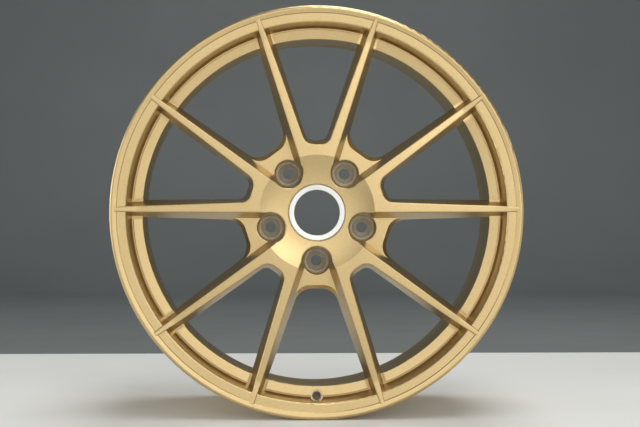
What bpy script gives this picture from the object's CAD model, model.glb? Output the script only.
import math

import bpy
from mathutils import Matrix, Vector


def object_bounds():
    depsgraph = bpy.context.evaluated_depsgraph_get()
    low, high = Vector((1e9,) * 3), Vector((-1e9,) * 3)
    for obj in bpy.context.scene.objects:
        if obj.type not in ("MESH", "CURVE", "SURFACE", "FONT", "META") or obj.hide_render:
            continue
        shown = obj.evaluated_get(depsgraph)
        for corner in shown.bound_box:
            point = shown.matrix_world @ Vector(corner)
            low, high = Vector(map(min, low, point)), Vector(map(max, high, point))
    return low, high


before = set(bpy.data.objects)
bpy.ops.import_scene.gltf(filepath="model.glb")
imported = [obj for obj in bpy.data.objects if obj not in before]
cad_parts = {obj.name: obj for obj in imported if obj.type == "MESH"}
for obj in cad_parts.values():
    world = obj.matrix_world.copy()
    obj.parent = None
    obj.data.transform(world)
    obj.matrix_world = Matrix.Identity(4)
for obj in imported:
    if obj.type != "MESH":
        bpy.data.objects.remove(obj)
CAD_LOW, CAD_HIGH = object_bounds()

# Driving places, in metres, in the row frame: the wheel's axis is Y and its outer face looks along -Y.
FRONT = CAD_LOW.y
FLOOR = CAD_LOW.z

CAMERA_DISTANCE = 1.65
CAMERA_LEFT = 0.035
AIM_RIGHT = 0.0037
AIM_DOWN = 0.0011
LENS = 70.5

VALVE_DEPTH = 0.0256        # where the valve hole's middle meets the pads' outer edge
VALVE_RADIUS = 0.2446
VALVE_TILT = math.radians(12)
BARE_RADIUS = 0.0069         # unpainted metal in and round the valve hole
TOOL_RING = 0.0007           # spacing of the rings that the turning tool leaves

FLOOR_BEHIND = 0.79
FLOOR_SIDE = 2.4
SWEEP_BACK = 3.4
SWEEP_BEND = 0.9
SWEEP_SIDE = 6.0
SWEEP_TOP = 3.0
SWEEP_DROP = 0.004
SWEEP_STEPS = 24


# ---- small helpers for node materials ------------------------------------------------------------

class Material:
    """A node material with a Principled shader and short calls for the nodes used below."""

    def __init__(self, name):
        self.material = bpy.data.materials.new(name)
        self.material.use_nodes = True
        self.tree = self.material.node_tree
        self.tree.nodes.clear()
        self.output = self.add("ShaderNodeOutputMaterial")
        self.shader = self.add("ShaderNodeBsdfPrincipled")
        self.link(self.shader.outputs["BSDF"], self.output.inputs["Surface"])
        self.place = self.add("ShaderNodeTexCoord").outputs["Object"]

    def add(self, kind, **settings):
        node = self.tree.nodes.new(kind)
        for name, value in settings.items():
            setattr(node, name, value)
        return node

    def link(self, source, target):
        self.tree.links.new(source, target)

    def feed(self, socket, value):
        if isinstance(value, bpy.types.NodeSocket):
            self.link(value, socket)
        else:
            socket.default_value = value

    def math(self, operation, first, second=0.0, third=0.0):
        node = self.add("ShaderNodeMath", operation=operation)
        for socket, value in zip(node.inputs, (first, second, third)):
            self.feed(socket, value)
        return node.outputs[0]

    def noise(self, size, detail=2.0, roughness=0.5, place=None):
        """Noise from 0 to 1 whose blobs are about `size` metres across."""
        node = self.add("ShaderNodeTexNoise")
        self.link(place or self.place, node.inputs["Vector"])
        node.inputs["Scale"].default_value = 1 / size
        node.inputs["Detail"].default_value = detail
        node.inputs["Roughness"].default_value = roughness
        return node.outputs["Fac"]

    def flakes(self, size):
        """A random value from 0 to 1 for each cell about `size` metres across."""
        node = self.add("ShaderNodeTexVoronoi")
        self.link(self.place, node.inputs["Vector"])
        node.inputs["Scale"].default_value = 1 / size
        split = self.add("ShaderNodeSeparateColor")
        self.link(node.outputs["Color"], split.inputs["Color"])
        return split.outputs["Red"]

    def ramp(self, value, *stops):
        """Colours at given places of a value from 0 to 1."""
        node = self.add("ShaderNodeValToRGB")
        self.link(value, node.inputs["Fac"])
        ramp = node.color_ramp
        while len(ramp.elements) < len(stops):
            ramp.elements.new(0.5)
        for element, (position, colour) in zip(ramp.elements, stops):
            element.position = position
            element.color = (*colour, 1.0)
        return node.outputs["Color"]

    def span(self, value, low, high):
        """A value from 0 to 1 spread over low to high."""
        node = self.add("ShaderNodeMapRange")
        self.link(value, node.inputs["Value"])
        node.inputs["To Min"].default_value = low
        node.inputs["To Max"].default_value = high
        return node.outputs["Result"]

    def mix(self, share, first, second):
        node = self.add("ShaderNodeMix", data_type="RGBA")
        self.feed(node.inputs["Factor"], share)
        for socket, value in zip(node.inputs[6:8], (first, second)):
            self.feed(socket, (*value, 1.0) if isinstance(value, tuple) else value)
        return node.outputs[2]

    def separate(self):
        """The X, Y and Z of the surface point, as sockets."""
        split = self.add("ShaderNodeSeparateXYZ")
        self.link(self.place, split.inputs[0])
        return split.outputs["X"], split.outputs["Y"], split.outputs["Z"]

    def length(self, first, second):
        """Length of a vector with two components."""
        squares = self.math("MULTIPLY_ADD", first, first, self.math("MULTIPLY", second, second))
        return self.math("SQRT", squares)

    def radius(self):
        """Distance from the wheel's axis."""
        across, _, up = self.separate()
        return self.length(across, up)

    def valve_distance(self):
        """Distance from the tilted line through the middle of the valve hole."""
        across, along, up = self.separate()
        lean, rise = math.sin(VALVE_TILT), math.cos(VALVE_TILT)
        start = (FRONT + VALVE_DEPTH) * lean - VALVE_RADIUS * rise
        leaning = self.math("MULTIPLY", along, lean)
        off = self.math("SUBTRACT", self.math("MULTIPLY_ADD", up, rise, leaning), start)
        return self.length(off, across)

    def bump(self, height, distance, strength=1.0, below=None):
        node = self.add("ShaderNodeBump")
        self.link(height, node.inputs["Height"])
        node.inputs["Distance"].default_value = distance
        node.inputs["Strength"].default_value = strength
        if below is not None:
            self.link(below, node.inputs["Normal"])
        return node.outputs["Normal"]

    def set(self, **values):
        names = {name.replace(" ", "_").lower(): name for name in self.shader.inputs.keys()}
        for key, value in values.items():
            value = (*value, 1.0) if isinstance(value, tuple) and len(value) == 3 else value
            self.feed(self.shader.inputs[names[key]], value)


# ---- materials -----------------------------------------------------------------------------------

def gold_paint():
    """Satin gold paint: fine aluminium flake under a matt clear coat, bare metal at the valve hole."""
    paint = Material("satin_gold")
    broad = paint.noise(0.09, detail=3.0)
    flake = paint.flakes(0.0007)
    base = paint.ramp(broad, (0.3, (0.575, 0.42, 0.195)), (0.7, (0.61, 0.45, 0.22)))
    tone = paint.ramp(flake, (0.0, (0.50, 0.365, 0.165)), (1.0, (0.68, 0.52, 0.27)))
    bare = paint.math("LESS_THAN", paint.valve_distance(), BARE_RADIUS)
    skin = paint.noise(0.0016, detail=2.0)
    wave = paint.noise(0.012, detail=1.0)
    soft = paint.bump(wave, 0.00005)
    fine = paint.bump(skin, 0.00002, below=soft)
    paint.set(
        base_color=paint.mix(bare, paint.mix(0.4, base, tone), (0.80, 0.79, 0.76)),
        metallic=0.95,
        roughness=paint.span(paint.noise(0.03, detail=4.0), 0.30, 0.36),
        normal=fine,
        coat_weight=0.12,
        coat_roughness=0.32,
    )
    return paint.material


def machined_metal():
    """Turned aluminium: a bright satin face with fine rings left by the tool."""
    metal = Material("turned_aluminium")
    rings = metal.math("MULTIPLY", metal.radius(), 1 / TOOL_RING)
    ringed = metal.math("FRACT", rings)
    streak = metal.noise(0.02, detail=3.0)
    metal.set(
        base_color=metal.ramp(streak, (0.3, (0.75, 0.735, 0.70)), (0.7, (0.83, 0.815, 0.78))),
        metallic=1.0,
        roughness=metal.span(metal.noise(0.004, detail=4.0), 0.34, 0.46),
        normal=metal.bump(ringed, 0.00001),
    )
    return metal.material


def seat_metal():
    """Plated steel of the bolt seats: brown-grey, with faint turning rings and a worn look."""
    steel = Material("plated_steel")
    mottle = steel.noise(0.004, detail=4.0)
    steel.set(
        base_color=steel.ramp(mottle, (0.3, (0.50, 0.47, 0.38)), (0.7, (0.62, 0.58, 0.49))),
        metallic=0.25,
        roughness=steel.span(steel.noise(0.002, detail=3.0), 0.5, 0.65),
        normal=steel.bump(steel.noise(0.0008, detail=3.0), 0.00003),
    )
    return steel.material


def stage_surface(name, colour, darker):
    """A plain matt studio surface with a faint unevenness."""
    surface = Material(name)
    cloud = surface.noise(0.5, detail=3.0)
    surface.set(
        base_color=surface.ramp(cloud, (0.3, darker), (0.7, colour)),
        roughness=surface.span(surface.noise(0.1), 0.55, 0.7),
        normal=surface.bump(surface.noise(0.003, detail=3.0), 0.0002),
    )
    return surface.material


# ---- the object ----------------------------------------------------------------------------------

def finish_of(node):
    """The material of a CAD node, from its name."""
    if node.startswith("bolt_seat"):
        return "seat"
    return "ring" if node == "centre_ring" else "paint"


def dress_nodes():
    finishes = {"paint": gold_paint(), "ring": machined_metal(), "seat": seat_metal()}
    for name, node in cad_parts.items():
        for slot in node.material_slots:
            slot.material = finishes[finish_of(name)]


# ---- the studio ----------------------------------------------------------------------------------

def mesh_object(name, points, faces, material):
    mesh = bpy.data.meshes.new(name)
    mesh.from_pydata(points, [], faces)
    mesh.materials.append(material)
    piece = bpy.data.objects.new(name, mesh)
    bpy.context.scene.collection.objects.link(piece)
    return piece


def pale_floor():
    near, far = FRONT - CAMERA_DISTANCE - 1.0, FRONT + FLOOR_BEHIND
    corners = [(-FLOOR_SIDE, near), (FLOOR_SIDE, near), (FLOOR_SIDE, far), (-FLOOR_SIDE, far)]
    points = [(x, y, FLOOR) for x, y in corners]
    surface = stage_surface("pale_floor", (0.90, 0.90, 0.86), (0.85, 0.85, 0.81))
    mesh_object("floor", points, [(0, 1, 2, 3)], surface)


def backdrop():
    """Seamless paper: flat under the floor, then curved up into a wall behind."""
    low = FLOOR - SWEEP_DROP
    line = [(-SWEEP_SIDE, low), (SWEEP_BACK - SWEEP_BEND, low)]
    for step in range(1, SWEEP_STEPS + 1):
        angle = math.pi / 2 * step / SWEEP_STEPS
        back = SWEEP_BACK - SWEEP_BEND * (1 - math.sin(angle))
        line.append((back, low + SWEEP_BEND * (1 - math.cos(angle))))
    line.append((SWEEP_BACK, SWEEP_TOP))
    points = [(side * SWEEP_SIDE, y, z) for y, z in line for side in (-1, 1)]
    faces = [(2 * i, 2 * i + 1, 2 * i + 3, 2 * i + 2) for i in range(len(line) - 1)]
    surface = stage_surface("grey_paper", (0.20, 0.215, 0.21), (0.18, 0.195, 0.19))
    paper = mesh_object("backdrop", points, faces, surface)
    paper.data.shade_smooth()


def lamp(name, place, aim, width, height, power, colour=(1.0, 1.0, 1.0)):
    """A soft rectangular studio light at place, turned towards aim."""
    data = bpy.data.lights.new(name, "AREA")
    data.shape = "RECTANGLE"
    data.size = width
    data.size_y = height
    data.energy = power
    data.color = colour
    light = bpy.data.objects.new(name, data)
    bpy.context.scene.collection.objects.link(light)
    light.location = place
    light.rotation_mode = "QUATERNION"
    light.rotation_quaternion = (Vector(aim) - Vector(place)).to_track_quat("-Z", "Y")
    light.visible_camera = False


def studio_light():
    world = bpy.data.worlds.new("studio")
    world.use_nodes = True
    sky = world.node_tree.nodes["Background"]
    sky.inputs["Color"].default_value = (0.80, 0.84, 0.88, 1.0)
    sky.inputs["Strength"].default_value = 0.22
    bpy.context.scene.world = world
    centre = (0.0, FRONT, 0.0)
    lamp("front", (0.3, FRONT - 3.6, 0.6), centre, 3.8, 2.6, 37)
    lamp("key", (0.88, FRONT - 2.28, 0.88), centre, 1.3, 1.3, 10)
    lamp("left", (-2.3, FRONT - 0.9, 0.1), centre, 1.2, 1.9, 24)
    lamp("right", (2.3, FRONT - 0.25, 0.4), centre, 0.5, 1.8, 10)
    lamp("left_rear", (-2.5, 0.7, 0.3), (0.0, 0.1, 0.0), 0.8, 1.2, 8)
    lamp("overhead", (0.3, FRONT + 0.2, 2.1), (0.0, FRONT + 0.2, FLOOR), 3.4, 1.0, 38)


def camera():
    data = bpy.data.cameras.new("camera")
    data.lens = LENS
    camera = bpy.data.objects.new("camera", data)
    bpy.context.scene.collection.objects.link(camera)
    place = Vector((-CAMERA_LEFT, FRONT - CAMERA_DISTANCE, 0.0))
    aim = Vector((AIM_RIGHT, FRONT, -AIM_DOWN))
    camera.location = place
    camera.rotation_mode = "QUATERNION"
    camera.rotation_quaternion = (aim - place).to_track_quat("-Z", "Y")
    bpy.context.scene.camera = camera


dress_nodes()
pale_floor()
backdrop()
studio_light()
camera()
bpy.context.scene.view_settings.view_transform = "Standard"
